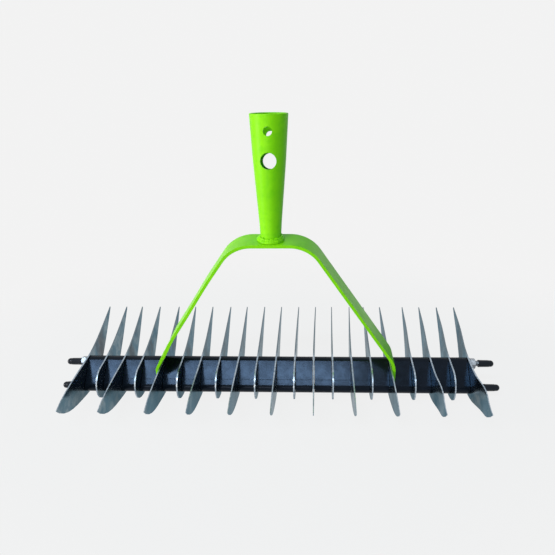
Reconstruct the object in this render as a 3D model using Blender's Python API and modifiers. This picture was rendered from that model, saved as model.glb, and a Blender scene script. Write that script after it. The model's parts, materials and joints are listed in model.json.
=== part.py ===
"""Head of a lawn aerating rake: crescent blades and spacers on two rods, under a welded bow with a handle socket.

X runs along the rods, Y points to the long pointed tines and Z points up in the plane of the bow. The origin is on
the surface that the blades' bellies stand on, midway between the tips of a long blade. Lengths are in metres.
Places are worked out from the middle between the two rods, where the empty rod_centre stands.
"""
import bmesh
import bpy
from math import cos, pi, radians, sin, tan
from mathutils import Matrix, Vector
from mathutils.geometry import interpolate_bezier

MM = 0.001

# Clearance between pieces that touch, and how finely round shapes are cut
GAP = 0.3 * MM
HOLE_SIDES = 14
ROUND_SIDES = 24

# Stack of blades and spacers
BLADE_COUNT = 21
BLADE_THICKNESS = 1.5 * MM
SPACER_LENGTH = 17.9 * MM
SPACER_RADIUS = 6.4 * MM
FLANGE_AFTER_BLADE = 5

# Two rods, on a line that slopes down towards the broad ends of the blades
ROD_RADIUS = 3.0 * MM
ROD_SPACING = 25.6 * MM
ROD_LINE_ANGLE = radians(42.0)
ROD_PAST_NUT = {"upper": (12.0 * MM, 15.6 * MM), "lower": (12.0 * MM, 18.6 * MM)}

# Blade outline, Y and Z from the middle between the rods
TINE_TIP = (88.5 * MM, 33.5 * MM)
TINE_TIP_WIDTH = 1.2 * MM
TOP_EDGE_BREAK = (15.0 * MM, 16.8 * MM)
BROAD_TIP = (-77.5 * MM, 11.3 * MM)
BELLY_Y = 6.5 * MM
BELLY_DROP = 20.3 * MM
STUB_SHOULDER = (-12.0 * MM, 15.3 * MM)
STUB_NOSE = (-29.5 * MM, -1.0 * MM)

# Bow of flat strap
STRAP_WIDTH = 30.0 * MM
STRAP_THICKNESS = 3.0 * MM
STRAP_EDGE_ROUND = 0.5 * MM
BOW_HEIGHT = 152.5 * MM
BOW_LEG_ANGLE = radians(33.5)
SHOULDER_RADIUS = 33.5 * MM
FLANGE_BEND_RADIUS = 25.0 * MM
FLANGE_TOP = 14.0 * MM
FLANGE_BELOW_ROD = 9.0 * MM
FLANGE_CORNER = 9.0 * MM

# Handle socket, leaning back from the plane of the bow; heights run along its axis from the strap
SOCKET_LENGTH = 112.6 * MM
SOCKET_LEAN = radians(12.7)
SOCKET_WALL = 2.0 * MM
SOCKET_FOOT_RADIUS = 9.6 * MM
SOCKET_NECK_RADIUS = 10.5 * MM
SOCKET_NECK_HEIGHT = 16.0 * MM
SOCKET_MID_RADIUS = 15.3 * MM
SOCKET_MID_HEIGHT = 74.0 * MM
SOCKET_MOUTH_RADIUS = 17.7 * MM
MOUTH_TILT = radians(6.4)
SOCKET_SIDES = 32
SCREW_HOLE_RADIUS = 4.0 * MM
SCREW_HOLE_BELOW_MOUTH = 14.6 * MM
SCREW_HOLE_TILT = radians(4.0)
LARGE_HOLE_RADIUS = 7.3 * MM
LARGE_HOLE_BELOW_MOUTH = 40.3 * MM
BEAD_WIDTH = 3.8 * MM
BEAD_HEIGHT = 4.5 * MM

# Fastenings at the ends of the rods
WASHER_RADIUS = 6.0 * MM
WASHER_THICKNESS = 1.6 * MM
NUT_ACROSS_FLATS = 10.0 * MM
NUT_THICKNESS = 5.0 * MM
CAP_RADIUS = 3.9 * MM
CAP_LENGTH = 16.5 * MM
CAP_END_WALL = 1.5 * MM

# Values that follow from the sizes above
ROD_HOLE_RADIUS = ROD_RADIUS + GAP
ROD_OFFSET = Vector((0.0, cos(ROD_LINE_ANGLE), sin(ROD_LINE_ANGLE))) * ROD_SPACING / 2
ROD_PLACES = {"upper": ROD_OFFSET, "lower": -ROD_OFFSET}
STACK_STEP = BLADE_THICKNESS + SPACER_LENGTH + 2 * GAP
FLANGE_STEP = STRAP_THICKNESS + GAP
STRAP_TOP = BOW_HEIGHT + STRAP_THICKNESS / 2
CAP_BORE_DEPTH = CAP_LENGTH - CAP_RADIUS
NUT_STACK = WASHER_THICKNESS + NUT_THICKNESS + 2 * GAP

PAINT = ("lime_paint", (0.20, 0.72, 0.01), 0.0, 0.28)
GALVANISED = ("galvanised_steel", (0.42, 0.48, 0.51), 1.0, 0.38)
BLACK_PLASTIC = ("black_plastic", (0.012, 0.014, 0.018), 0.0, 0.32)
ZINC = ("zinc_plate", (0.66, 0.67, 0.68), 1.0, 0.30)
CAP_PLASTIC = ("cap_plastic", (0.008, 0.008, 0.010), 0.0, 0.25)


def clear_scene():
    for old in list(bpy.data.objects):
        bpy.data.objects.remove(old, do_unlink=True)


def new_collection(name):
    group = bpy.data.collections.new(name)
    bpy.context.scene.collection.children.link(group)
    return group


def give_material(obj, finish):
    name, colour, metallic, roughness = finish
    material = bpy.data.materials.get(name) or bpy.data.materials.new(name)
    material.use_nodes = True
    shader = material.node_tree.nodes["Principled BSDF"]
    shader.inputs["Base Color"].default_value = (*colour, 1.0)
    shader.inputs["Metallic"].default_value = metallic
    shader.inputs["Roughness"].default_value = roughness
    obj.data.materials.clear()
    obj.data.materials.append(material)


def mesh_from(shape, name):
    """Turns a bmesh into a mesh with smooth rounds and sharp edges."""
    bmesh.ops.recalc_face_normals(shape, faces=shape.faces)
    mesh = bpy.data.meshes.new(name)
    shape.to_mesh(mesh)
    shape.free()
    mesh.shade_smooth()
    mesh.set_sharp_from_angle(angle=radians(35))
    return mesh


def add_piece(name, mesh, group, parent, finish=None, location=(0, 0, 0)):
    obj = bpy.data.objects.new(name, mesh)
    group.objects.link(obj)
    obj.parent = parent
    obj.location = location
    if finish:
        give_material(obj, finish)
    return obj


def add_empty(name, group, parent=None, location=(0, 0, 0), lean=0.0):
    empty = bpy.data.objects.new(name, None)
    group.objects.link(empty)
    empty.parent = parent
    empty.location = location
    empty.rotation_euler = (lean, 0, 0)
    return empty


def cylinder_mesh(name, radius, length, sides, turn):
    shape = bmesh.new()
    bmesh.ops.create_cone(
        shape, cap_ends=True, segments=sides, radius1=radius, radius2=radius, depth=length, matrix=turn
    )
    return mesh_from(shape, name)


ALONG_X = Matrix.Rotation(pi / 2, 4, "Y")
ALONG_Y = Matrix.Rotation(pi / 2, 4, "X")


def cut(obj, cutter):
    """Takes the cutter's shape out of the object, and shows the cutter as a wire guide."""
    cutter.hide_render = True
    cutter.display_type = "WIRE"
    boolean = obj.modifiers.new("cut by " + cutter.name, "BOOLEAN")
    boolean.operation = "DIFFERENCE"
    boolean.object = cutter


def circle_points(centre, radius, sides):
    angles = [2 * pi * side / sides for side in range(sides)]
    return [(centre[0] + radius * cos(angle), centre[1] + radius * sin(angle)) for angle in angles]


def plate_mesh(name, outlines, thickness):
    """A flat plate square to X. The first outline is its edge in Y and Z, and the others are holes."""
    curve = bpy.data.curves.new(name + "_outline", "CURVE")
    curve.dimensions = "2D"
    curve.fill_mode = "BOTH"
    curve.extrude = thickness / 2
    for outline in outlines:
        spline = curve.splines.new("POLY")
        spline.points.add(len(outline) - 1)
        spline.use_cyclic_u = True
        for point, (y, z) in zip(spline.points, outline):
            point.co = (y, z, 0, 1)
    drawn = bpy.data.objects.new(name + "_outline", curve)
    bpy.context.scene.collection.objects.link(drawn)
    flat = bpy.data.meshes.new_from_object(drawn.evaluated_get(bpy.context.evaluated_depsgraph_get()))
    bpy.data.objects.remove(drawn, do_unlink=True)
    shape = bmesh.new()
    shape.from_mesh(flat)
    bmesh.ops.remove_doubles(shape, verts=shape.verts, dist=0.00001)
    stand_up = Matrix(((0, 0, 1, 0), (1, 0, 0, 0), (0, 1, 0, 0), (0, 0, 0, 1)))
    bmesh.ops.transform(shape, matrix=stand_up, verts=shape.verts)
    return mesh_from(shape, name)


def rod_holes():
    return [circle_points((place.y, place.z), ROD_HOLE_RADIUS, HOLE_SIDES) for place in ROD_PLACES.values()]


def curved_outline(stretches):
    """Points of an outline made of Bezier stretches, each given by four places and a number of steps."""
    outline = []
    for start, leave, arrive, end, steps in stretches:
        points = interpolate_bezier(start, leave, arrive, end, steps + 1)
        outline += [(point.x, point.y) for point in points[:-1]]
    return outline


def blade_outline(long):
    """Hollow upper edge, pointed tine, round belly, and either a broad knife-shaped end or a round stub."""
    tine, rise, broad = Vector(TINE_TIP), Vector(TOP_EDGE_BREAK), Vector(BROAD_TIP)
    belly = Vector((BELLY_Y, -BELLY_DROP))
    tine_foot = tine - Vector((0.0, TINE_TIP_WIDTH))
    hollow = tine - rise
    under = tine_foot - belly
    stretches = [(
        tine,
        tine - Vector((0.36 * hollow.x, 0.37 * hollow.y)),
        rise + Vector((0.285 * hollow.x, 0.14 * hollow.y)),
        rise,
        6,
    )]
    if long:
        reach = belly - broad
        stretches.append((
            rise,
            rise - Vector((0.367 * hollow.x, 0.144 * hollow.y)),
            broad + Vector((0.27 * reach.x, -0.212 * reach.y)),
            broad,
            7,
        ))
        stretches.append((
            broad,
            broad + Vector((0.137 * reach.x, 0.547 * reach.y)),
            belly - Vector((0.35 * reach.x, 0.03 * reach.y)),
            belly,
            9,
        ))
    else:
        shoulder, nose = Vector(STUB_SHOULDER), Vector(STUB_NOSE)
        top, turn, under_nose = shoulder - rise, nose - shoulder, belly - nose
        stretches.append((
            rise,
            rise + Vector((0.35 * top.x, 0.5 * top.y)),
            shoulder - Vector((0.4 * top.x, 0.0)),
            shoulder,
            2,
        ))
        stretches.append((
            shoulder,
            shoulder + Vector((0.54 * turn.x, 0.0)),
            nose - Vector((0.0, 0.55 * turn.y)),
            nose,
            6,
        ))
        stretches.append((
            nose,
            nose + Vector((0.0, 0.83 * under_nose.y)),
            belly - Vector((0.62 * under_nose.x, 0.0)),
            belly,
            7,
        ))
    stretches.append((
        belly,
        belly + Vector((0.20 * under.x, 0.0)),
        tine_foot - Vector((0.69 * under.x, 0.90 * under.y)),
        tine_foot,
        9,
    ))
    return curved_outline(stretches) + [tuple(tine_foot)]


def stack_places():
    """X of each blade and spacer and of the right flange, in a stack that is symmetric about X = 0."""
    blades = []
    last_inside = BLADE_COUNT + 1 - FLANGE_AFTER_BLADE
    for number in range(1, BLADE_COUNT + 1):
        x = (number - (BLADE_COUNT + 1) / 2) * STACK_STEP
        if number < FLANGE_AFTER_BLADE:
            x -= FLANGE_STEP
        if number > last_inside:
            x += FLANGE_STEP
        blades.append(x)
    spacers = []
    for left, right in zip(blades, blades[1:]):
        if left < 0:
            spacers.append(left + STACK_STEP / 2)
        else:
            spacers.append(right - STACK_STEP / 2)
    flange_x = blades[last_inside - 1] + BLADE_THICKNESS / 2 + GAP + STRAP_THICKNESS / 2
    return blades, spacers, flange_x


def make_blades(group, parent, blades):
    """Odd blades are long and even ones short; every second place gets the stub."""
    long_mesh = plate_mesh("long_blade", [blade_outline(True)] + rod_holes(), BLADE_THICKNESS)
    short_mesh = plate_mesh("short_blade", [blade_outline(False)] + rod_holes(), BLADE_THICKNESS)
    for number, x in enumerate(blades, start=1):
        if number % 2:
            add_piece("long_blade_%02d" % number, long_mesh, group, parent, GALVANISED, (x, 0, 0))
        else:
            add_piece("short_blade_%02d" % number, short_mesh, group, parent, GALVANISED, (x, 0, 0))


def make_spacers(group, parent, spacers):
    """Oval moulded spacers: a half round about each rod, joined by flats."""
    half_sides = ROUND_SIDES // 2
    oval = []
    for place, start in ((ROD_OFFSET, ROD_LINE_ANGLE - pi / 2), (-ROD_OFFSET, ROD_LINE_ANGLE + pi / 2)):
        for side in range(half_sides + 1):
            angle = start + pi * side / half_sides
            oval.append((place.y + SPACER_RADIUS * cos(angle), place.z + SPACER_RADIUS * sin(angle)))
    mesh = plate_mesh("spacer", [oval] + rod_holes(), SPACER_LENGTH)
    for number, x in enumerate(spacers, start=1):
        add_piece("spacer_%02d" % number, mesh, group, parent, BLACK_PLASTIC, (x, 0, 0))


def bow_half_line(flange_x):
    """Centre line of the strap from X = 0 to the end of the right flange, as X and Z."""
    angle = BOW_LEG_ANGLE
    shoulder_drop = SHOULDER_RADIUS * (1 - sin(angle))
    bend_drop = FLANGE_BEND_RADIUS * sin(angle)
    leg = (BOW_HEIGHT - FLANGE_TOP - shoulder_drop - bend_drop) / cos(angle)
    leg_foot = flange_x - FLANGE_BEND_RADIUS * (1 - cos(angle))
    flat = leg_foot - leg * sin(angle) - SHOULDER_RADIUS * cos(angle)
    line = [(0.0, BOW_HEIGHT)]
    shoulder_steps = 10
    for step in range(shoulder_steps + 1):
        turn = (pi / 2 - angle) * step / shoulder_steps
        line.append((flat + SHOULDER_RADIUS * sin(turn), BOW_HEIGHT - SHOULDER_RADIUS * (1 - cos(turn))))
    bend_steps = 5
    for step in range(bend_steps + 1):
        turn = angle * (1 - step / bend_steps)
        line.append((flange_x - FLANGE_BEND_RADIUS * (1 - cos(turn)), FLANGE_TOP + FLANGE_BEND_RADIUS * sin(turn)))
    return line


def make_bow(group, cutters, parent, flange_x):
    """One strap bent into an arch: half of its middle surface, mirrored, thickened, edge-rounded and drilled."""
    half = STRAP_WIDTH / 2
    rows = [(x, z, half) for x, z in bow_half_line(flange_x)]
    end = -ROD_OFFSET.z - FLANGE_BELOW_ROD
    corner_steps = 5
    for step in range(corner_steps + 1):
        turn = pi / 2 * step / corner_steps
        rows.append((flange_x, end + FLANGE_CORNER * (1 - sin(turn)), half - FLANGE_CORNER * (1 - cos(turn))))
    shape = bmesh.new()
    edges = [[shape.verts.new((x, side * width, z)) for side in (-1, 1)] for x, z, width in rows]
    for upper, lower in zip(edges, edges[1:]):
        shape.faces.new((upper[0], lower[0], lower[1], upper[1]))
    bow = add_piece("bow", mesh_from(shape, "bow"), group, parent, PAINT)
    mirror = bow.modifiers.new("other leg", "MIRROR")
    mirror.merge_threshold = 0.00005
    solid = bow.modifiers.new("strap thickness", "SOLIDIFY")
    solid.thickness = STRAP_THICKNESS
    solid.offset = 0.0
    solid.use_even_offset = True
    edge = bow.modifiers.new("rounded strap edges", "BEVEL")
    edge.width = STRAP_EDGE_ROUND
    edge.segments = 1
    edge.limit_method = "ANGLE"
    edge.angle_limit = radians(50)
    edge.loop_slide = False
    drill_mesh = cylinder_mesh("rod_drill", ROD_HOLE_RADIUS, 3 * flange_x, HOLE_SIDES, ALONG_X)
    for name, place in ROD_PLACES.items():
        cut(bow, add_piece(name + "_rod_drill", drill_mesh, cutters, parent, location=place))


def socket_radius(height):
    """Outside radius of the socket: a slim foot, a steady taper, and a mouth that widens less."""
    stations = (
        (0.0, SOCKET_FOOT_RADIUS),
        (SOCKET_NECK_HEIGHT, SOCKET_NECK_RADIUS),
        (SOCKET_MID_HEIGHT, SOCKET_MID_RADIUS),
        (SOCKET_LENGTH, SOCKET_MOUTH_RADIUS),
    )
    for (low, low_radius), (high, high_radius) in zip(stations, stations[1:]):
        if height <= high or high == SOCKET_LENGTH:
            return low_radius + (high_radius - low_radius) * (height - low) / (high - low)


def mouth_rise(angle):
    """Height of the mouth above its front: it is cut on a slant, and rises towards its back."""
    return SOCKET_MOUTH_RADIUS * tan(MOUTH_TILT) * (1 - cos(angle))


def make_socket(group, cutters, parent):
    """Rolled tapered tube: an open skin thickened inwards, its foot cut flush with the strap, then drilled."""
    foot = add_empty("socket_axis", group, parent, (0, 0, STRAP_TOP + GAP), -SOCKET_LEAN)
    below = -2 * SOCKET_FOOT_RADIUS * tan(SOCKET_LEAN)
    heights = (below, SOCKET_NECK_HEIGHT, (SOCKET_NECK_HEIGHT + SOCKET_MID_HEIGHT) / 2, SOCKET_MID_HEIGHT)
    shape = bmesh.new()
    rings = [[] for _ in range(len(heights) + 1)]
    for side in range(SOCKET_SIDES):
        angle = 2 * pi * side / SOCKET_SIDES
        mouth = SOCKET_LENGTH + mouth_rise(angle)
        for ring, height in zip(rings, (*heights, mouth)):
            radius = socket_radius(height)
            ring.append(shape.verts.new((radius * sin(angle), -radius * cos(angle), height)))
    for lower, upper in zip(rings, rings[1:]):
        for side in range(SOCKET_SIDES):
            after = (side + 1) % SOCKET_SIDES
            shape.faces.new((lower[side], lower[after], upper[after], upper[side]))
    socket = add_piece("handle_socket", mesh_from(shape, "handle_socket"), group, foot, PAINT)
    wall = socket.modifiers.new("tube wall", "SOLIDIFY")
    wall.thickness = SOCKET_WALL
    wall.offset = -1.0
    wall.use_even_offset = True
    block = bmesh.new()
    bmesh.ops.create_cube(block, size=6 * SOCKET_FOOT_RADIUS)
    block_place = (0, 0, STRAP_TOP + GAP - 3 * SOCKET_FOOT_RADIUS)
    cut(socket, add_piece("foot_cut", mesh_from(block, "foot_cut"), cutters, parent, location=block_place))
    for name, radius, below_mouth, tilt in (
        ("screw_hole_drill", SCREW_HOLE_RADIUS, SCREW_HOLE_BELOW_MOUTH, SCREW_HOLE_TILT),
        ("large_hole_drill", LARGE_HOLE_RADIUS, LARGE_HOLE_BELOW_MOUTH, 0.0),
    ):
        height = SOCKET_LENGTH - below_mouth
        mesh = cylinder_mesh(name, radius, 4 * SOCKET_MOUTH_RADIUS, ROUND_SIDES, ALONG_Y)
        middle = height - socket_radius(height) * tan(tilt)
        drill = add_piece(name, mesh, cutters, foot, location=(0, 0, middle))
        drill.rotation_euler = (-tilt, 0, 0)
        cut(socket, drill)


def make_weld_bead(group, parent):
    """Collar of weld with a round face, following the slanted foot of the socket."""
    face_steps = 4
    profile = [(0.0, 0.0), (0.0, BEAD_HEIGHT)]
    for step in range(1, face_steps + 1):
        turn = pi / 2 * step / face_steps
        profile.append((BEAD_WIDTH * sin(turn), BEAD_HEIGHT * cos(turn)))
    shape = bmesh.new()
    sections = []
    for side in range(SOCKET_SIDES):
        angle = 2 * pi * side / SOCKET_SIDES
        section = []
        for out, height in profile:
            radius = socket_radius(height) + GAP + out
            stretch = (radius - out) / cos(SOCKET_LEAN) + out
            y = height * tan(SOCKET_LEAN) - stretch * cos(angle)
            section.append(shape.verts.new((radius * sin(angle), y, height)))
        sections.append(section)
    for side, here in enumerate(sections):
        after = sections[(side + 1) % SOCKET_SIDES]
        for low in range(len(profile)):
            high = (low + 1) % len(profile)
            shape.faces.new((here[low], here[high], after[high], after[low]))
    place = (0, 0, STRAP_TOP + GAP)
    add_piece("weld_bead", mesh_from(shape, "weld_bead"), group, parent, PAINT, place)


def make_fastenings(group, parent, end_face):
    """Rods, and a washer, a nut and a cap on each of their ends; end_face is the outside of the last blade.

    A cap is pushed up to its nut, or stands off it where the rod fills the cap's bore first.
    """
    washer_x = end_face + GAP + WASHER_THICKNESS / 2
    nut_x = washer_x + WASHER_THICKNESS / 2 + GAP + NUT_THICKNESS / 2
    nut_face = end_face + NUT_STACK
    hole = circle_points((0, 0), ROD_HOLE_RADIUS, HOLE_SIDES)
    hexagon = circle_points((0, 0), NUT_ACROSS_FLATS / 2 / cos(pi / 6), 6)
    washer_mesh = plate_mesh("washer", [circle_points((0, 0), WASHER_RADIUS, ROUND_SIDES), hole], WASHER_THICKNESS)
    nut_mesh = plate_mesh("nut", [hexagon, hole], NUT_THICKNESS)
    cap_mesh = cap_profile()
    for level, place in ROD_PLACES.items():
        left, right = ROD_PAST_NUT[level]
        rod_mesh = cylinder_mesh(level + "_rod", ROD_RADIUS, 2 * nut_face + left + right, ROUND_SIDES, ALONG_X)
        add_piece(level + "_rod", rod_mesh, group, parent, ZINC, place + Vector(((right - left) / 2, 0, 0)))
        for hand, sign, past in (("left", -1, left), ("right", 1, right)):
            label = "_" + level + "_" + hand
            add_piece("washer" + label, washer_mesh, group, parent, ZINC, place + Vector((sign * washer_x, 0, 0)))
            add_piece("nut" + label, nut_mesh, group, parent, ZINC, place + Vector((sign * nut_x, 0, 0)))
            cap_place = place + Vector((sign * (nut_face + cap_stand_off(past)), 0, 0))
            cap = add_piece("end_cap" + label, cap_mesh, group, parent, CAP_PLASTIC, cap_place)
            cap.rotation_euler = (0, sign * pi / 2, 0)
            turned = cap.modifiers.new("turned cup", "SCREW")
            turned.steps = turned.render_steps = ROUND_SIDES
            turned.use_merge_vertices = True
            turned.merge_threshold = 0.00005
            turned.use_smooth_shade = True


def cap_stand_off(past_nut):
    """Gap between a nut and the mouth of its cap, for a rod that reaches this far past the nut."""
    return max(GAP, past_nut - CAP_BORE_DEPTH + GAP)


def cap_profile():
    """Half section of a cap, from the middle of its round end, down its outside and up its bore."""
    round_steps = 4
    points = []
    for step in range(round_steps + 1):
        turn = pi / 2 * step / round_steps
        points.append((CAP_RADIUS * sin(turn), CAP_LENGTH - CAP_RADIUS * (1 - cos(turn))))
    points += [(CAP_RADIUS, 0.0), (ROD_HOLE_RADIUS, 0.0)]
    points += [(ROD_HOLE_RADIUS, CAP_BORE_DEPTH), (0.0, CAP_LENGTH - CAP_END_WALL)]
    mesh = bpy.data.meshes.new("end_cap")
    places = [(radius, 0, height) for radius, height in points]
    mesh.from_pydata(places, [(low, low + 1) for low in range(len(places) - 1)], [])
    return mesh


def main():
    clear_scene()
    parts = new_collection("lawn_aerating_rake")
    cutters = new_collection("cutters")
    blades, spacers, flange_x = stack_places()
    end_face = blades[-1] + BLADE_THICKNESS / 2
    left_past, right_past = (max(cap_stand_off(past) for past in pasts) for pasts in zip(*ROD_PAST_NUT.values()))
    middle = ((left_past - right_past) / 2, -(TINE_TIP[0] + BROAD_TIP[0]) / 2, BELLY_DROP)
    rod_centre = add_empty("rod_centre", parts, location=middle)
    make_blades(parts, rod_centre, blades)
    make_spacers(parts, rod_centre, spacers)
    make_bow(parts, cutters, rod_centre, flange_x)
    make_socket(parts, cutters, rod_centre)
    make_weld_bead(parts, rod_centre)
    make_fastenings(parts, rod_centre, end_face)


main()
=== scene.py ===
"""Looks of the lawn aerating rake head: finer pieces, materials, studio light and the photograph's camera.

X runs along the rods, Y points to the pointed tines and Z up. Lengths are in metres, and sizes are written in
millimetres times MM. The sizes that the model already has are repeated from it by name.
"""
import json

from math import cos, exp, pi, radians, sin, tan, tau

import bmesh
import bpy
from mathutils import Matrix, Vector, noise


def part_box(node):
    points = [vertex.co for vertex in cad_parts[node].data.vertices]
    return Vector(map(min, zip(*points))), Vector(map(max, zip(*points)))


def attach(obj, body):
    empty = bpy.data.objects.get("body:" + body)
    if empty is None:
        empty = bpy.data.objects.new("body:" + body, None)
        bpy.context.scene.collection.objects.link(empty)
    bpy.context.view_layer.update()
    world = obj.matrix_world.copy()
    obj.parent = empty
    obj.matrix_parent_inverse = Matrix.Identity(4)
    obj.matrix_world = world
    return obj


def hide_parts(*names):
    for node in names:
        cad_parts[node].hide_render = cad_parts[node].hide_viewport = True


MM = 0.001

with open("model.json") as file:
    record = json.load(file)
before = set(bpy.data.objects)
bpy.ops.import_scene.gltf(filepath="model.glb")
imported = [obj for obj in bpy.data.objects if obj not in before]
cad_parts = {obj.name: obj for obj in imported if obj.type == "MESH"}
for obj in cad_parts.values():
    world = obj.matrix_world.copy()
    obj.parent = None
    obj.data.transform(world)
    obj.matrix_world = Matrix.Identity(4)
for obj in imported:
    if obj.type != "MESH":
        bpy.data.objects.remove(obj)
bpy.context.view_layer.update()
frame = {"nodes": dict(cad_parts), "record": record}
NODES = frame["nodes"]

# ---- Sizes repeated from the model ----
GAP = 0.3 * MM
ROD_RADIUS = 3.0 * MM
ROD_HOLE_RADIUS = ROD_RADIUS + GAP
STRAP_WIDTH = 30.0 * MM
STRAP_THICKNESS = 3.0 * MM
BOW_HEIGHT = 152.5 * MM
BOW_LEG_ANGLE = radians(33.5)
SHOULDER_RADIUS = 33.5 * MM
FLANGE_BEND_RADIUS = 25.0 * MM
FLANGE_TOP = 14.0 * MM
FLANGE_CORNER = 9.0 * MM
SOCKET_LENGTH = 112.6 * MM
SOCKET_LEAN = radians(12.7)
SOCKET_WALL = 2.0 * MM
SOCKET_STATIONS = ((0.0, 9.6 * MM), (16.0 * MM, 10.5 * MM), (74.0 * MM, 15.3 * MM), (SOCKET_LENGTH, 17.7 * MM))
SOCKET_MOUTH_RADIUS = SOCKET_STATIONS[-1][1]
MOUTH_TILT = radians(6.4)
HOLES = ((4.0 * MM, 98.0 * MM, radians(4.0)), (7.3 * MM, 72.3 * MM, 0.0))
BEAD_WIDTH = 3.8 * MM
BEAD_HEIGHT = 4.5 * MM
NUT_ACROSS_FLATS = 10.0 * MM
NUT_THICKNESS = 5.0 * MM
CAP_RADIUS = 3.9 * MM
CAP_LENGTH = 16.5 * MM
CAP_END_WALL = 1.5 * MM

# ---- Sizes that only the looks need ----
MOUTH_LIP = 0.7 * MM
THREAD_PITCH = 1.0 * MM
THREADED_END = 24 * MM
NUT_FACE_SHARE = 0.955
CAP_BODY_RADIUS = 3.72 * MM
CAP_TIP_RADIUS = 3.45 * MM


def box_middle(node):
    """Middle of a node's box."""
    low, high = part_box(node)
    return (low + high) / 2


ROD_PLACES = {level: box_middle("washer_" + level + "_left") for level in ("upper", "lower")}
CENTRE = (ROD_PLACES["upper"] + ROD_PLACES["lower"]) / 2
CENTRE.x = box_middle("long_blade_11").x
STRAP_TOP = CENTRE.z + BOW_HEIGHT + STRAP_THICKNESS / 2
FLANGE_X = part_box("bow")[1].x - STRAP_THICKNESS / 2 - CENTRE.x
FLANGE_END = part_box("bow")[0].z - CENTRE.z


# ---- Camera ----
FOCAL_PIXELS = 540
FRAME_PIXELS = 555
SHIFT_PIXELS = -22.5


def add_object(name, data):
    obj = bpy.data.objects.new(name, data)
    bpy.context.scene.collection.objects.link(obj)
    return obj


def make_camera():
    """The photograph's view."""
    data = bpy.data.cameras.new("photo_camera")
    data.sensor_width = 36.0
    data.lens = 36.0 * FOCAL_PIXELS / FRAME_PIXELS
    data.shift_x = SHIFT_PIXELS / FRAME_PIXELS
    data.clip_start = 0.05
    data.clip_end = 20.0
    camera = add_object("photo_camera", data)
    right = Vector((0.99948, 0.02943, -0.01327)).normalized()
    forward = Vector((-0.03227, 0.90289, -0.42865))
    forward = (forward - right * forward.dot(right)).normalized()
    up = right.cross(forward)
    turn = Matrix((right, up, -forward)).transposed().to_4x4()
    camera.matrix_world = Matrix.Translation(CENTRE + Vector((43.965, -475.82, 340.2)) * MM) @ turn
    bpy.context.scene.camera = camera


make_camera()


# ---- Node helpers ----
class Shader:
    """A material's node tree, with short ways to add nodes and to join them."""

    def __init__(self, name):
        self.material = bpy.data.materials.new(name)
        self.material.use_nodes = True
        self.tree = self.material.node_tree
        self.main = self.tree.nodes["Principled BSDF"]
        self.place = self.node("ShaderNodeTexCoord").outputs["Object"]

    def node(self, kind, **settings):
        made = self.tree.nodes.new(kind)
        for key, value in settings.items():
            setattr(made, key, value)
        return made

    def put(self, value, socket):
        if isinstance(value, bpy.types.NodeSocket):
            self.tree.links.new(value, socket)
        else:
            socket.default_value = value

    def set(self, **values):
        """Values or links for the main shader's sockets, with _ in place of a space in their names."""
        for key, value in values.items():
            self.put(value, self.main.inputs[key.replace("_", " ")])

    def math(self, operation, *values, clamp=False):
        made = self.node("ShaderNodeMath", operation=operation, use_clamp=clamp)
        for value, socket in zip(values, made.inputs):
            self.put(value, socket)
        return made.outputs[0]

    def noise(self, scale, detail=2.0, rough=0.5, stretch=None, turn=None):
        """Noise from 0 to 1; scale is in waves per metre, and stretch multiplies it along X, Y and Z."""
        place = self.place
        if stretch or turn:
            mapping = self.node("ShaderNodeMapping")
            mapping.inputs["Scale"].default_value = stretch or (1, 1, 1)
            mapping.inputs["Rotation"].default_value = turn or (0, 0, 0)
            self.put(place, mapping.inputs["Vector"])
            place = mapping.outputs[0]
        made = self.node("ShaderNodeTexNoise")
        for key, value in (("Vector", place), ("Scale", scale), ("Detail", detail), ("Roughness", rough)):
            self.put(value, made.inputs[key])
        return made.outputs["Fac"]

    def spread(self, value, low, high, to_low=0.0, to_high=1.0):
        """Maps low..high to to_low..to_high with soft ends, and holds what lies outside."""
        made = self.node("ShaderNodeMapRange", interpolation_type="SMOOTHSTEP")
        for key, number in (
            ("Value", value), ("From Min", low), ("From Max", high), ("To Min", to_low), ("To Max", to_high),
        ):
            self.put(number, made.inputs[key])
        return made.outputs[0]

    def mix(self, factor, first, second):
        made = self.node("ShaderNodeMix", data_type="RGBA")
        for value, socket in ((factor, made.inputs[0]), (first, made.inputs[6]), (second, made.inputs[7])):
            if isinstance(value, tuple):
                value = (*value, 1.0)
            self.put(value, socket)
        return made.outputs[2]

    def bump(self, height, strength, distance, normal=None):
        made = self.node("ShaderNodeBump")
        made.inputs["Strength"].default_value = strength
        made.inputs["Distance"].default_value = distance
        self.put(height, made.inputs["Height"])
        if normal:
            self.put(normal, made.inputs["Normal"])
        return made.outputs[0]

    def soft_edges(self, radius):
        made = self.node("ShaderNodeBevel", samples=6)
        made.inputs["Radius"].default_value = radius
        return made.outputs[0]

    def split(self, vector):
        made = self.node("ShaderNodeSeparateXYZ")
        self.put(vector, made.inputs[0])
        return made.outputs

    def edge_wear(self, radius):
        """0 on flats, and up to 1 where an edge lies within the radius."""
        rounded = self.node("ShaderNodeBevel", samples=8)
        rounded.inputs["Radius"].default_value = radius
        geometry = self.node("ShaderNodeNewGeometry")
        turned = self.node("ShaderNodeVectorMath", operation="DOT_PRODUCT")
        self.put(rounded.outputs[0], turned.inputs[0])
        self.put(geometry.outputs["True Normal"], turned.inputs[1])
        return self.spread(turned.outputs["Value"], 0.995, 0.90)


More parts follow.
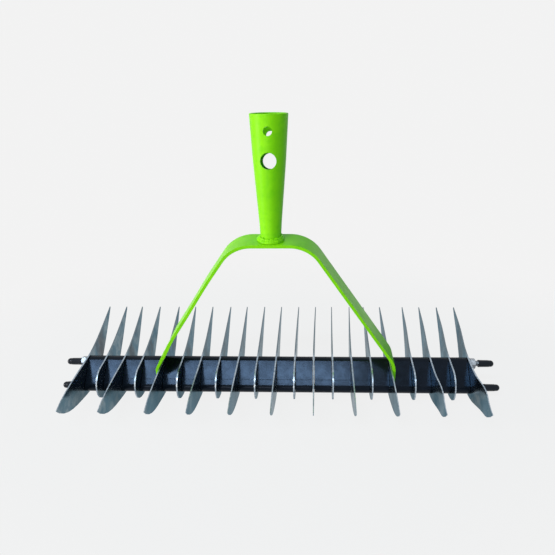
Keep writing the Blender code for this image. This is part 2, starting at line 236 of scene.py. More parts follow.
def lime_paint():
    """Powder coat: small changes in depth of colour, a faint orange peel and a few chips along edges."""
    s = Shader("lime_powder_coat")
    tone = s.spread(s.noise(30.0, 3.0), 0.3, 0.7)
    cloud = s.spread(s.noise(170.0, 2.0), 0.45, 0.75, 0.0, 0.5)
    colour = s.mix(tone, (0.222, 0.650, 0.002), (0.262, 0.725, 0.003))
    colour = s.mix(cloud, colour, (0.165, 0.60, 0.002))
    chip = s.math("MULTIPLY", s.edge_wear(0.9 * MM), s.spread(s.noise(210.0, 4.0, 0.7), 0.685, 0.70))
    peel = s.bump(s.noise(700.0, 1.0), 0.03, 0.1 * MM, s.bump(chip, -0.6, 0.1 * MM, s.soft_edges(0.25 * MM)))
    rough = s.spread(s.noise(90.0, 2.0), 0.3, 0.7, 0.35, 0.42)
    s.set(
        Base_Color=s.mix(chip, colour, (0.035, 0.045, 0.035)),
        Roughness=s.math("ADD", rough, s.math("MULTIPLY", chip, 0.3)),
        Specular_IOR_Level=0.13,
        Normal=peel,
    )
    return s.material


def galvanised_steel():
    """Zinc-coated sheet: cloudy blue-grey with teal stains, a brown stain next to the bar that is partly painted
    shade, painted shade on the broad side next to the bar, rolling marks and bright sheared edges.
    """
    s = Shader("galvanised_sheet")
    y, z = s.split(s.place)[1:3]
    side = s.math("ABSOLUTE", s.split(s.node("ShaderNodeNewGeometry").outputs["Normal"])[0])
    flat = s.spread(side, 0.55, 0.8)
    cloud = s.spread(s.noise(85.0, 3.0, 0.55), 0.32, 0.68)
    stain = s.noise(34.0, 3.0, 0.55, stretch=(4.0, 1.0, 1.0))
    base = s.mix(cloud, (0.165, 0.225, 0.265), (0.335, 0.385, 0.405))
    # Brown stain on the tines next to the bar, patchy with the stain noise; it is also painted shade, standing in for
    # the darker reflections next to the bar.
    near_bar = s.math("MULTIPLY", s.spread(y, 6 * MM, 20 * MM), s.spread(y, 72 * MM, 26 * MM))
    brown_stain_and_shade = s.math("MULTIPLY", near_bar, s.spread(stain, 0.38, 0.60))
    base = s.mix(s.math("MULTIPLY", brown_stain_and_shade, 0.9), base, (0.160, 0.130, 0.118))
    patch = s.spread(s.noise(48.0, 2.0, 0.5, stretch=(3.0, 1.0, 1.0)), 0.60, 0.70)
    base = s.mix(s.math("MULTIPLY", patch, 0.7), base, (0.36, 0.38, 0.37))
    teal = s.math("MULTIPLY", s.spread(y, -22 * MM, -48 * MM), s.spread(stain, 0.62, 0.36))
    base = s.mix(s.math("MULTIPLY", teal, 0.75), base, (0.130, 0.200, 0.240))
    # Painted shade: the broad side next to the bar is darkened, standing in for the dark reflections of the
    # neighbouring blades and spacers there.
    broad_side_painted_shade = s.math("MULTIPLY", s.spread(y, -66 * MM, -34 * MM), s.spread(y, 8 * MM, -4 * MM))
    base = s.mix(s.math("MULTIPLY", broad_side_painted_shade, 0.55), base, (0.055, 0.070, 0.078))
    across = s.math("ADD", z, s.math("MULTIPLY", y, 0.76))
    across = s.math("SUBTRACT", across, CENTRE.z + 0.76 * CENTRE.y)
    clean = s.math("MULTIPLY", s.spread(across, -25 * MM, -19 * MM), s.spread(across, 25 * MM, 17 * MM))
    base = s.mix(s.math("MULTIPLY", clean, 0.9), base, (0.36, 0.43, 0.49))
    rolled = s.noise(70.0, 3.0, 0.6, stretch=(1.0, 0.35, 9.0))
    sheared = s.noise(600.0, 2.0, 0.6, stretch=(0.15, 1.0, 1.0))
    edge = s.mix(s.spread(sheared, 0.35, 0.7), (0.46, 0.53, 0.60), (0.22, 0.28, 0.34))
    edge = s.mix(s.spread(y, 2 * MM, 14 * MM), edge, (0.17, 0.215, 0.245))
    rough = s.math("ADD", s.spread(cloud, 0.0, 1.0, 0.16, 0.22), s.spread(rolled, 0.4, 0.75, 0.0, 0.05))
    rough = s.math("ADD", rough, s.math("MULTIPLY", s.math("SUBTRACT", 1.0, flat), 0.16))
    height = s.math("ADD", s.math("MULTIPLY", rolled, 0.3), s.math("MULTIPLY", cloud, 0.4))
    s.set(
        Base_Color=s.mix(flat, edge, base),
        Metallic=1.0,
        Specular_Tint=(0.40, 0.50, 0.56, 1.0),
        Roughness=rough,
        Normal=s.bump(height, 0.035, 0.3 * MM, s.soft_edges(0.16 * MM)),
    )
    return s.material


def black_plastic(name, tint, rough, spread, seam, gloss):
    """Moulded plastic: almost black, with a satin skin and soft sink marks, and with a fine line where the mould
    parts at the height seam, if that isn't 0."""
    s = Shader(name)
    cloud = s.noise(60.0, 3.0, 0.6)
    colour = s.mix(s.spread(cloud, 0.3, 0.7), (0.004, 0.005, 0.007), (0.008, 0.009, 0.013))
    sink = s.noise(70.0, 1.0, 0.5, stretch=(1.0, 0.6, 0.6))
    normal = s.bump(sink, 0.10, 0.8 * MM, s.soft_edges(0.3 * MM))
    if seam:
        z = s.split(s.place)[2]
        line = s.math("ABSOLUTE", s.math("SUBTRACT", z, seam))
        normal = s.bump(s.spread(line, 0.0, 0.3 * MM, 1.0, 0.0), 0.14, 0.1 * MM, normal)
    s.set(
        Base_Color=colour,
        Roughness=s.spread(s.noise(110.0, 3.0, 0.6), 0.3, 0.7, rough, rough + spread),
        Specular_IOR_Level=gloss,
        Specular_Tint=tint,
        Normal=normal,
    )
    return s.material


def zinc_plate():
    """Bright zinc: light grey metal with a faint grain and duller patches."""
    s = Shader("bright_zinc")
    cloud = s.noise(400.0, 3.0, 0.6)
    s.set(
        Base_Color=s.mix(s.spread(cloud, 0.3, 0.7), (0.26, 0.28, 0.31), (0.40, 0.43, 0.46)),
        Metallic=1.0,
        Roughness=s.spread(cloud, 0.3, 0.7, 0.34, 0.50),
        Normal=s.bump(s.noise(1500.0, 2.0), 0.10, 0.1 * MM, s.soft_edges(0.15 * MM)),
    )
    return s.material


FINISHES = {
    "lime_paint": lime_paint(),
    "galvanised_steel": galvanised_steel(),
    "black_plastic": black_plastic("satin_black_plastic", (0.50, 0.68, 1.0, 1.0), 0.15, 0.06, CENTRE.z, 0.17),
    "zinc_plate": zinc_plate(),
    "cap_plastic": black_plastic("gloss_black_plastic", (0.72, 0.84, 1.0, 1.0), 0.16, 0.06, 0.0, 0.25),
}


# ---- Finishing of the model's own nodes ----
def even_flats(obj):
    """Keeps flats flat in the light where rounds meet them."""
    weighted = obj.modifiers.new("even flats", "WEIGHTED_NORMAL")
    weighted.keep_sharp = True
    weighted.weight = 80


def smooth_rounds_group():
    """Geometry nodes that join the triangles, smooth the rounds and keep edges above 32 degrees sharp."""
    group = bpy.data.node_groups.new("smooth_rounds", "GeometryNodeTree")
    group.interface.new_socket("Geometry", in_out="INPUT", socket_type="NodeSocketGeometry")
    group.interface.new_socket("Geometry", in_out="OUTPUT", socket_type="NodeSocketGeometry")
    nodes, link = group.nodes, group.links.new
    start = nodes.new("NodeGroupInput")
    end = nodes.new("NodeGroupOutput")
    plain = nodes.new("GeometryNodeRemoveAttribute")
    plain.inputs["Name"].default_value = "custom_normal"
    joined = nodes.new("GeometryNodeMergeByDistance")
    joined.inputs["Distance"].default_value = 0.004 * MM
    faces = nodes.new("GeometryNodeSetShadeSmooth")
    faces.inputs["Shade Smooth"].default_value = True
    edges = nodes.new("GeometryNodeSetShadeSmooth")
    edges.domain = "EDGE"
    edges.inputs["Shade Smooth"].default_value = False
    angle = nodes.new("GeometryNodeInputMeshEdgeAngle")
    steep = nodes.new("FunctionNodeCompare")
    steep.inputs["B"].default_value = radians(32)
    link(start.outputs[0], plain.inputs["Geometry"])
    link(plain.outputs[0], joined.inputs["Geometry"])
    link(joined.outputs[0], faces.inputs["Geometry"])
    link(faces.outputs[0], edges.inputs["Geometry"])
    link(angle.outputs["Unsigned Angle"], steep.inputs["A"])
    link(steep.outputs[0], edges.inputs["Selection"])
    link(edges.outputs[0], end.inputs[0])
    return group


def finish_nodes():
    """Gives every node of the model its smooth rounds and its finish."""
    group = smooth_rounds_group()
    slot_of = {m["slot"]: m for m in frame["record"]["materials"]}
    for name, obj in NODES.items():
        finish = obj.data.materials[0].name.split(".")[0]
        if finish in slot_of:
            obj.material_slots[0].material = FINISHES[finish]
        rounds = obj.modifiers.new("smooth rounds", "NODES")
        rounds.node_group = group
        if name.startswith("spacer"):
            even_flats(obj)


finish_nodes()


# ---- Making pieces ----
def grid_mesh(name, rings, closed_ends=False):
    """A skin over rings of points: each ring closes on itself, and with closed_ends the last joins the first."""
    mesh = bpy.data.meshes.new(name)
    sides = len(rings[0])
    points = [point for ring in rings for point in ring]
    faces = []
    for low in range(len(rings) if closed_ends else len(rings) - 1):
        high = (low + 1) % len(rings)
        for side in range(sides):
            after = (side + 1) % sides
            faces.append((low * sides + side, low * sides + after, high * sides + after, high * sides + side))
    mesh.from_pydata(points, [], faces)
    return mesh


def settle(mesh, angle=32):
    """Outward normals and smooth rounds with sharp edges."""
    shape = bmesh.new()
    shape.from_mesh(mesh)
    bmesh.ops.remove_doubles(shape, verts=shape.verts, dist=0.002 * MM)
    bmesh.ops.recalc_face_normals(shape, faces=shape.faces)
    shape.to_mesh(mesh)
    shape.free()
    mesh.shade_smooth()
    mesh.set_sharp_from_angle(angle=radians(angle))


def mesh_of(shape, name):
    """The mesh of a bmesh, which is let go."""
    mesh = bpy.data.meshes.new(name)
    shape.to_mesh(mesh)
    shape.free()
    return mesh


def new_piece(name, mesh, finish, *nodes):
    """A piece of the root body with one of the finishes, in place of the model's nodes."""
    obj = add_object(name, mesh)
    mesh.materials.clear()
    mesh.materials.append(FINISHES[finish])
    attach(obj, "root")
    if nodes:
        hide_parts(*nodes)
    return obj


def freeze(obj, *helpers):
    """Makes the modified shape the object's own mesh, and removes what was used to cut it."""
    made = bpy.data.meshes.new_from_object(obj.evaluated_get(bpy.context.evaluated_depsgraph_get()))
    obj.modifiers.clear()
    obj.data = made
    for helper in helpers:
        bpy.data.objects.remove(helper, do_unlink=True)


def drill(name, radius, length, matrix, sides=64):
    """A round cutter along the matrix's Z."""
    shape = bmesh.new()
    bmesh.ops.create_cone(shape, cap_ends=True, segments=sides, radius1=radius, radius2=radius, depth=length)
    obj = add_object(name, mesh_of(shape, name))
    obj.matrix_world = matrix
    return obj


def cut(obj, cutter):
    """Cuts the object with the cutter, and gives the cutter back so that it can be removed later."""
    boolean = obj.modifiers.new("cut " + cutter.name, "BOOLEAN")
    boolean.operation = "DIFFERENCE"
    boolean.object = cutter
    return cutter


# ---- Blades ----
# For each blade, in millimetres: the lean of the tine's tip, the bow of the tine, the lean of the broad tip, and the
# bow of the broad end.
BLADE_BENDS = {
    1: (-2.0, 0.0, 1.0, 0.0), 2: (-1.6, 0.0, 0.0, 0.0), 3: (-2.8, 0.0, 0.5, 0.0), 4: (-1.0, 0.0, 0.0, 0.0),
    5: (-1.5, 0.0, 1.3, 0.0), 6: (-1.6, 0.0, 0.0, 0.0), 7: (-0.8, 0.0, 0.8, 0.0), 8: (0.9, 0.0, 0.0, 0.0),
    9: (0.5, 0.0, 0.2, 0.0), 10: (1.5, 0.0, 0.0, 0.0), 11: (1.6, 0.0, 0.1, 0.0), 12: (2.1, 0.0, 0.0, 0.0),
    13: (2.0, 0.0, 0.2, 0.0), 14: (0.8, 0.0, 0.0, 0.0), 15: (1.6, 0.0, 0.1, 0.0), 16: (-2.2, 0.0, 0.0, 0.0),
    17: (-3.1, 0.0, 0.2, 0.0), 18: (0.6, 0.8, 0.0, 0.0), 19: (0.1, 0.8, 0.1, 1.8), 20: (0.6, 1.0, 0.0, 0.0),
    21: (0.8, 1.2, 1.5, 3.0),
}
BENT_FROM = 17 * MM
BENT_TO = {"tine": 94 * MM, "broad": 72 * MM}
THINNED_BY = 0.45
BROAD_REACH = 78 * MM
BELLY_FULLER = 1.8 * MM
SHEARED_EDGE = 0.26 * MM
CUTS = [step * 6 * MM + 1 * MM for step in range(-12, 16)]


def free_share(y):
    """0 where the spacers clamp a blade, and about 1 at either tip, for a distance y from the rods."""
    side = "tine" if y > 0 else "broad"
    return max(0.0, (abs(y) - BENT_FROM) / (BENT_TO[side] - BENT_FROM))


def blade_shift(number, y):
    """How far a used blade leans aside at a distance y from the rods."""
    lean, bow = BLADE_BENDS[number][:2] if y > 0 else BLADE_BENDS[number][2:]
    share = free_share(y)
    return (lean * share ** 1.5 + bow * sin(pi * min(share, 1.0)) ** 2) * MM


def belly_drop(y, z):
    """How much lower the belly of a long blade is near its broad tip than in the model's plain curve."""
    share = (-y - BENT_FROM) / (BROAD_REACH - BENT_FROM)
    if not 0.0 < share < 1.0:
        return 0.0
    below_middle = (share * 15.3 - 4.0) * MM - z
    depth = min(1.0, max(0.0, below_middle / (3 * MM)))
    return BELLY_FULLER * depth * sin(pi * share ** 1.6)


def make_blades():
    """The blades of the model, each with the slight bend that the photograph shows in it, and thinner at its tips.

    Each is cut across at many places first, so that its flat sides can bend.
    """
    seen = bpy.context.evaluated_depsgraph_get()
    for name, node in list(NODES.items()):
        if "_blade_" not in name:
            continue
        number = int(name.split("_")[-1])
        mesh = bpy.data.meshes.new_from_object(node.evaluated_get(seen))
        shape = bmesh.new()
        shape.from_mesh(mesh)
        for y in CUTS:
            where = CENTRE + Vector((0, 1, 0)) * y
            parts = shape.verts[:] + shape.edges[:] + shape.faces[:]
            bmesh.ops.bisect_plane(shape, geom=parts, plane_co=where, plane_no=(0, 1, 0), dist=0.01 * MM)
        low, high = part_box(name)
        middle = (low.x + high.x) / 2
        for vert in shape.verts:
            y = vert.co.y - CENTRE.y
            if name.startswith("long"):
                vert.co.z -= belly_drop(y, vert.co.z - CENTRE.z)
            thickness_share = 1.0 - THINNED_BY * min(free_share(y), 1.0)
            vert.co.x = middle + (vert.co.x - middle) * thickness_share + blade_shift(number, y)
        shape.to_mesh(mesh)
        shape.free()
        mesh.name = "sheet_blade_%02d" % number
        settle(mesh)
        piece = new_piece(mesh.name, mesh, "galvanised_steel", name)
        rollover = piece.modifiers.new("sheared edge", "BEVEL")
        rollover.width = SHEARED_EDGE
        rollover.segments = 2
        rollover.limit_method = "ANGLE"
        rollover.angle_limit = radians(60)


# ---- Bow ----
def strap_half_line():
    """X and Z of the right half of the strap's centre line, from the middle of the bow to the flange."""
    angle = BOW_LEG_ANGLE
    drop = SHOULDER_RADIUS * (1 - sin(angle)) + FLANGE_BEND_RADIUS * sin(angle)
    leg = (BOW_HEIGHT - FLANGE_TOP - drop) / cos(angle)
    flat = FLANGE_X - FLANGE_BEND_RADIUS * (1 - cos(angle)) - leg * sin(angle) - SHOULDER_RADIUS * cos(angle)
    line = [(0.0, BOW_HEIGHT), (flat * 0.5, BOW_HEIGHT)]
    for step in range(25):
        turn = (pi / 2 - angle) * step / 24
        line.append((flat + SHOULDER_RADIUS * sin(turn), BOW_HEIGHT - SHOULDER_RADIUS * (1 - cos(turn))))
    foot = (FLANGE_X - FLANGE_BEND_RADIUS * (1 - cos(angle)), FLANGE_TOP + FLANGE_BEND_RADIUS * sin(angle))
    start = line[-1]
    for step in range(1, 28):
        share = step / 28
        line.append((start[0] + (foot[0] - start[0]) * share, start[1] + (foot[1] - start[1]) * share))
    for step in range(13):
        turn = angle * (1 - step / 12)
        line.append((FLANGE_X - FLANGE_BEND_RADIUS * (1 - cos(turn)), FLANGE_TOP + FLANGE_BEND_RADIUS * sin(turn)))
    return line


def left_leg_shift(height):
    """How far the left leg leans inwards from its mirror image: its lower bend is softer, and it bulges above."""
    if height <= FLANGE_TOP or height > BOW_HEIGHT - 6 * MM:
        return 0.0
    rise = min(1.0, (height - FLANGE_TOP) / (9 * MM))
    rise = rise * rise * (3 - 2 * rise)
    soft = 2.7 * exp(-(((height - 28 * MM) / (15 * MM)) ** 2))
    bulge = 1.0 * exp(-(((height - 112 * MM) / (24 * MM)) ** 2))
    return (soft * rise - bulge) * MM


def make_bow():
    """The strap again, with fine bends and round edges."""
    half = STRAP_WIDTH / 2
    rows = [(x, z, half) for x, z in strap_half_line()]
    for step in range(11):
        turn = pi / 2 * step / 10
        rows.append((FLANGE_X, FLANGE_END + FLANGE_CORNER * (1 - sin(turn)), half - FLANGE_CORNER * (1 - cos(turn))))
    shape = bmesh.new()
    edges = [[shape.verts.new((x, side * width, z)) for side in (-1, 1)] for x, z, width in rows]
    for upper, lower in zip(edges, edges[1:]):
        shape.faces.new((upper[0], lower[0], lower[1], upper[1]))
    bmesh.ops.recalc_face_normals(shape, faces=shape.faces)
    obj = add_object("bow_strap", mesh_of(shape, "bow_strap"))
    obj.location = CENTRE
    mirror = obj.modifiers.new("other leg", "MIRROR")
    mirror.merge_threshold = 0.05 * MM
    solid = obj.modifiers.new("thickness", "SOLIDIFY")
    solid.thickness = STRAP_THICKNESS
    solid.offset = 0.0
    solid.use_even_offset = True
    edge = obj.modifiers.new("round edges", "BEVEL")
    edge.width = 0.85 * MM
    edge.segments = 3
    edge.limit_method = "ANGLE"
    edge.angle_limit = radians(50)
    edge.loop_slide = False
    drills = []
    for level, place in ROD_PLACES.items():
        across = Matrix.Translation((CENTRE.x, place.y, place.z)) @ Matrix.Rotation(pi / 2, 4, "Y")
        drills.append(cut(obj, drill(level + "_drill", ROD_HOLE_RADIUS, 3 * FLANGE_X, across, 32)))
    freeze(obj, *drills)
    mesh = obj.data
    for vert in mesh.vertices:
        if vert.co.x < 0:
            vert.co.x += left_leg_shift(vert.co.z)
    mesh.transform(Matrix.Translation(CENTRE))
    bpy.data.objects.remove(obj, do_unlink=True)
    settle(mesh)
    even_flats(new_piece("bow_strap", mesh, "lime_paint", "bow"))


# ---- Handle socket ----
def socket_radius(height):
    """Outer radius of the tapered tube at a height along its axis."""
    for (low, low_radius), (high, high_radius) in zip(SOCKET_STATIONS, SOCKET_STATIONS[1:]):
        if height <= high or high == SOCKET_LENGTH:
            return low_radius + (high_radius - low_radius) * (height - low) / (high - low)


def mouth_rise(angle):
    """How much higher the tilted mouth stands than its front, seen round the socket's axis."""
    return SOCKET_MOUTH_RADIUS * tan(MOUTH_TILT) * (1 - cos(angle))


SOCKET_AXIS = Matrix.Translation((CENTRE.x, CENTRE.y, STRAP_TOP + GAP)) @ Matrix.Rotation(-SOCKET_LEAN, 4, "X")


def make_socket():
    """The tapered tube with a rolled lip, fine sides and both holes."""
    sides = 128
    lip = MOUTH_LIP
    angles = [tau * side / sides for side in range(sides)]

    def ring(share, inset, rise=0.0):
        points = []
        for angle in angles:
            foot = -(SOCKET_STATIONS[0][1] - inset) * cos(angle) * tan(SOCKET_LEAN)
            top = SOCKET_LENGTH + mouth_rise(angle)
            height = foot + (top - foot) * share + rise
            radius = socket_radius(height) - inset
            points.append(SOCKET_AXIS @ Vector((radius * sin(angle), -radius * cos(angle), height)))
        return points

    shares = [step / 48 for step in range(48)]
    rings = [ring(share, 0.0) for share in shares]
    rings.append(ring(1.0, 0.0, -lip))
    for step in range(1, 5):
        turn = pi / 2 * step / 4
        rings.append(ring(1.0, lip * (1 - cos(turn)), -lip * (1 - sin(turn))))
    for step in range(4):
        turn = pi / 2 * step / 4
        rings.append(ring(1.0, SOCKET_WALL - lip * (1 - sin(turn)), -lip * (1 - cos(turn))))
    rings.append(ring(1.0, SOCKET_WALL, -lip))
    rings += [ring(share, SOCKET_WALL) for share in reversed(shares)]
    mesh = grid_mesh("socket_tube", rings, closed_ends=True)
    settle(mesh)
    obj = add_object("socket_tube", mesh)
    drills = []
    for radius, height, tilt in HOLES:
        middle = height - socket_radius(height) * tan(tilt)
        across = Matrix.Translation((0, 0, middle)) @ Matrix.Rotation(pi / 2 - tilt, 4, "X")
        drills.append(cut(obj, drill("hole_drill", radius, 80 * MM, SOCKET_AXIS @ across)))
    freeze(obj, *drills)
    mesh = obj.data
    bpy.data.objects.remove(obj, do_unlink=True)
    settle(mesh)
    new_piece("socket_tube", mesh, "lime_paint", "handle_socket")


# ---- Weld bead ----
def make_weld():
    """Two runs of weld round the socket's foot, with ripples and lumps."""
    sides = 240
    steps = 18
    rings = []
    for step in range(steps + 1):
        turn = pi / 2 * step / steps
        ring = []
        for side in range(sides):
            angle = tau * side / sides
            way = Vector((sin(angle), -cos(angle), 0.0))
            lump = noise.noise(way * 2.3 + Vector((0, 0, 4.0)))
            ripple = 0.5 + 0.5 * sin(angle * 34 + 3.0 * sin(turn * 2) + 2.0 * lump)
            double = 0.5 + 0.5 * cos(turn * 8.0 - 0.4)
            swell = 0.86 + 0.14 * lump - 0.22 * double * sin(turn * 2) - 0.07 * ripple * sin(turn * 2)
            out = BEAD_WIDTH * sin(turn) * swell
            height = BEAD_HEIGHT * cos(turn) * (0.88 + 0.20 * noise.noise(way * 3.1))
            radius = socket_radius(height) + GAP / 2
            y = height * tan(SOCKET_LEAN) - (radius / cos(SOCKET_LEAN) + out) * cos(angle)
            ring.append((CENTRE.x + (radius + out) * sin(angle), CENTRE.y + y, STRAP_TOP + GAP + height))
        rings.append(ring)
    inner = []
    radius = socket_radius(0.0) + GAP / 2
    for side in range(sides):
        angle = tau * side / sides
        y = -radius / cos(SOCKET_LEAN) * cos(angle)
        inner.append((CENTRE.x + radius * sin(angle), CENTRE.y + y, STRAP_TOP + GAP))
    rings.append(inner)
    mesh = grid_mesh("weld_run", rings, closed_ends=True)
    settle(mesh, 50)
    new_piece("weld_run", mesh, "lime_paint", "weld_bead")


# ---- Rods, nuts and caps ----
def thread_radius(x, angle):
    """Rolled M6 thread, with flat crests and roots."""
    share = (x / THREAD_PITCH - angle / tau) % 1.0
    ramp = min(1.0, max(0.0, (abs(share - 0.5) * 2 - 0.18) / 0.62))
    return ROD_RADIUS - 0.04 * MM - 0.55 * MM * ramp


def make_rod(level):
    """Rod with a thread at both ends, which starts behind a chamfer and runs out over its last turn."""
    low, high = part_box(level + "_rod")
    place = (low + high) / 2
    sides = 28
    pitch_steps = 8
    count = int(THREADED_END / THREAD_PITCH * pitch_steps)
    steps = [step * THREAD_PITCH / pitch_steps for step in range(count + 1)]
    xs = [low.x + step for step in steps] + [high.x - THREADED_END + step for step in steps]
    rings = []
    for x in xs:
        ring = []
        from_end = min(x - low.x, high.x - x)
        for side in range(sides):
            angle = tau * side / sides
            radius = thread_radius(x, angle)
            radius = min(radius, 2.35 * MM + from_end)
            if from_end > THREADED_END - THREAD_PITCH:
                share = (from_end - THREADED_END + THREAD_PITCH) / THREAD_PITCH
                radius += (ROD_RADIUS - radius) * share
            ring.append((x, place.y + radius * cos(angle), place.z + radius * sin(angle)))
        rings.append(ring)
    mesh = grid_mesh("threaded_rod_" + level, rings)
    shape = bmesh.new()
    shape.from_mesh(mesh)
    bmesh.ops.holes_fill(shape, edges=[edge for edge in shape.edges if edge.is_boundary])
    shape.to_mesh(mesh)
    shape.free()
    settle(mesh, 40)
    new_piece("threaded_rod_" + level, mesh, "zinc_plate", level + "_rod")


def lathe_x(name, place, sign, profile, sides=48):
    """Turns a closed profile of (distance, radius) about the rod's line."""
    angles = [tau * side / sides for side in range(sides)]
    rings = [
        [(place.x + sign * out, place.y + radius * cos(angle), place.z + radius * sin(angle)) for angle in angles]
        for out, radius in profile
    ]
    return grid_mesh(name, rings, closed_ends=True)


def make_nut(level, hand):
    """Hexagon nut with both faces chamfered and a countersunk bore."""
    node = "nut_" + level + "_" + hand
    low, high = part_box(node)
    place = Vector(((low.x + high.x) / 2, ROD_PLACES[level].y, ROD_PLACES[level].z))
    half = NUT_THICKNESS / 2
    flat = NUT_ACROSS_FLATS / 2
    face = flat * NUT_FACE_SHARE
    sides = 72
    turn = radians(10) if level == "upper" else radians(24)
    rings = []
    for out, kind in (
        (-half, "bore"), (-half, "face"), (-half, "corner"), (half, "corner"), (half, "face"), (half, "bore"),
        (half - 0.5 * MM, "thread"), (-half + 0.5 * MM, "thread"),
    ):
        ring = []
        for side in range(sides):
            angle = tau * side / sides
            wedge = (angle + pi / 6) % (pi / 3) - pi / 6
            hexagon = flat / cos(wedge)
            x = out
            if kind == "bore":
                radius = ROD_HOLE_RADIUS + 0.35 * MM
            elif kind == "thread":
                radius = ROD_HOLE_RADIUS - 0.2 * MM
            elif kind == "face":
                radius = face
            else:
                radius = hexagon
                x = out - (1 if out > 0 else -1) * (hexagon - face) * tan(radians(28))
            ring.append((place.x + x, place.y + radius * cos(angle + turn), place.z + radius * sin(angle + turn)))
        rings.append(ring)
    mesh = grid_mesh("hexagon_" + node, rings, closed_ends=True)
    settle(mesh, 20)
    new_piece("hexagon_" + node, mesh, "zinc_plate", node)


def make_cap(level, hand):
    """Dipped cap: a slightly tapered sleeve with a rolled mouth, a soft waist and a round end."""
    node = "end_cap_" + level + "_" + hand
    low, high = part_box(node)
    sign = -1 if hand == "left" else 1
    mouth = high.x if hand == "left" else low.x
    place = Vector((mouth, ROD_PLACES[level].y, ROD_PLACES[level].z))
    body = CAP_BODY_RADIUS
    tip = CAP_TIP_RADIUS
    waist = CAP_LENGTH - 4.6 * MM
    profile = [(0.0, ROD_HOLE_RADIUS + 0.05 * MM), (0.0, CAP_RADIUS - 0.25 * MM), (0.12 * MM, CAP_RADIUS - 0.08 * MM)]
    profile += [(0.35 * MM, CAP_RADIUS), (1.3 * MM, CAP_RADIUS), (1.7 * MM, body + 0.05 * MM)]
    profile += [(waist - 1.2 * MM, body - 0.06 * MM), (waist - 0.5 * MM, body - 0.16 * MM)]
    profile += [(waist, tip - 0.1 * MM), (waist + 0.5 * MM, tip)]
    dome = CAP_LENGTH - tip
    profile.append((dome - 0.3 * MM, tip))
    for step in range(1, 10):
        turn = pi / 2 * step / 9
        profile.append((dome + tip * sin(turn) - (0.02 * MM if step == 9 else 0.0), max(tip * cos(turn), 0.03 * MM)))
    inside = CAP_LENGTH - CAP_RADIUS
    profile += [(CAP_LENGTH - CAP_END_WALL, 0.03 * MM), (inside, ROD_HOLE_RADIUS), (0.4 * MM, ROD_HOLE_RADIUS)]
    mesh = lathe_x("cap_" + level + "_" + hand, place, sign, profile)
    settle(mesh, 40)
    new_piece("cap_" + level + "_" + hand, mesh, "cap_plastic", node)


make_blades()
make_bow()
make_socket()
make_weld()
for level in ("upper", "lower"):
    make_rod(level)
    for hand in ("left", "right"):
        make_nut(level, hand)
        make_cap(level, hand)


# ---- Floor, light and background ----
BACKGROUND = 0.8905
FLOOR_GLOW = 0.94
FLOOR_FADE = (0.16, 0.40)


def showing(tree):
    """1 for rays that show the background: from the camera, or by way of gloss or glass."""
    paths = tree.nodes.new("ShaderNodeLightPath")
    total = None
    for name in ("Is Camera Ray", "Is Glossy Ray", "Is Transmission Ray"):
        if total is None:
            total = paths.outputs[name]
            continue
        larger = tree.nodes.new("ShaderNodeMath")
        larger.operation = "MAXIMUM"
        tree.links.new(total, larger.inputs[0])
        tree.links.new(paths.outputs[name], larger.inputs[1])
        total = larger.outputs[0]
    return total


def make_world():
    world = bpy.data.worlds.new("studio")
    bpy.context.scene.world = world
    world.use_nodes = True
    tree = world.node_tree
    nodes, link = tree.nodes, tree.links.new
    light = nodes["Background"]
    light.inputs["Color"].default_value = (0.24, 0.86, 1.0, 1.0)
    light.inputs["Strength"].default_value = 0.21
    seen = nodes.new("ShaderNodeBackground")
    seen.inputs["Color"].default_value = (1.0, 1.0, 1.0, 1.0)
    seen.inputs["Strength"].default_value = BACKGROUND
    mix = nodes.new("ShaderNodeMixShader")
    link(showing(tree), mix.inputs[0])
    link(light.outputs[0], mix.inputs[1])
    link(seen.outputs[0], mix.inputs[2])
    link(mix.outputs[0], nodes["World Output"].inputs["Surface"])


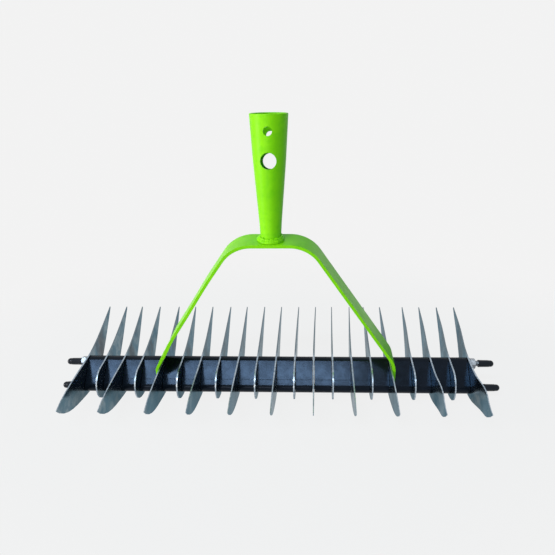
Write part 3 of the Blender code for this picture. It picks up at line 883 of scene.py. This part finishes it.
def make_floor():
    """Pale floor that fades into the background some way from the object, and keeps a soft shadow."""
    shape = bmesh.new()
    bmesh.ops.create_grid(shape, x_segments=1, y_segments=1, size=3.0)
    obj = add_object("floor", mesh_of(shape, "floor"))
    obj.location.z = -0.05 * MM
    material = bpy.data.materials.new("pale_floor")
    material.use_nodes = True
    tree = material.node_tree
    nodes, link = tree.nodes, tree.links.new
    nodes.remove(nodes["Principled BSDF"])
    matt = nodes.new("ShaderNodeBsdfDiffuse")
    matt.inputs["Color"].default_value = (0.80, 0.80, 0.80, 1.0)
    glow = nodes.new("ShaderNodeEmission")
    glow.inputs["Color"].default_value = (1.0, 1.0, 1.0, 1.0)
    glow.inputs["Strength"].default_value = BACKGROUND
    most = nodes.new("ShaderNodeMath")
    most.operation = "MULTIPLY"
    most.inputs[1].default_value = FLOOR_GLOW
    seen = showing(tree)
    link(seen, most.inputs[0])
    even = nodes.new("ShaderNodeMixShader")
    link(most.outputs[0], even.inputs[0])
    link(matt.outputs[0], even.inputs[1])
    link(glow.outputs[0], even.inputs[2])
    clear = nodes.new("ShaderNodeBsdfTransparent")
    place = nodes.new("ShaderNodeTexCoord")
    away = nodes.new("ShaderNodeVectorMath")
    away.operation = "LENGTH"
    squeeze = nodes.new("ShaderNodeMapping")
    squeeze.inputs["Scale"].default_value = (0.72, 1.0, 1.0)
    link(place.outputs["Object"], squeeze.inputs["Vector"])
    link(squeeze.outputs[0], away.inputs[0])
    fade = nodes.new("ShaderNodeMapRange")
    fade.interpolation_type = "SMOOTHSTEP"
    fade.inputs["From Min"].default_value = FLOOR_FADE[0]
    fade.inputs["From Max"].default_value = FLOOR_FADE[1]
    link(away.outputs["Value"], fade.inputs["Value"])
    gone = nodes.new("ShaderNodeMath")
    gone.operation = "MULTIPLY"
    link(seen, gone.inputs[0])
    link(fade.outputs[0], gone.inputs[1])
    last = nodes.new("ShaderNodeMixShader")
    link(gone.outputs[0], last.inputs[0])
    link(even.outputs[0], last.inputs[1])
    link(clear.outputs[0], last.inputs[2])
    link(last.outputs[0], nodes["Material Output"].inputs["Surface"])
    obj.data.materials.append(material)


def make_lamp(name, place, aim, size, size_y, power, colour):
    data = bpy.data.lights.new(name, "AREA")
    data.shape = "RECTANGLE"
    data.size = size
    data.size_y = size_y
    data.energy = power
    data.color = colour
    lamp = add_object(name, data)
    lamp.location = place
    lamp.rotation_mode = "QUATERNION"
    lamp.rotation_quaternion = (Vector(aim) - Vector(place)).to_track_quat("-Z", "Y")


make_world()
make_floor()
make_lamp("overhead_softbox", (-0.74, -1.33, 2.35), (-0.74, 0.0, 0.05), 1.98, 0.27, 41.0, (0.68, 0.86, 1.0))
make_lamp("left_softbox", (-2.35, -0.80, 0.75), (0.0, 0.0, 0.12), 0.9, 1.6, 54.0, (1.0, 0.87, 0.78))
make_lamp("front_softbox", (-0.7, -2.1, 0.45), (0.0, 0.0, 0.12), 1.2, 0.5, 8.0, (1.0, 0.88, 0.76))

bpy.context.scene.view_settings.view_transform = "Standard"
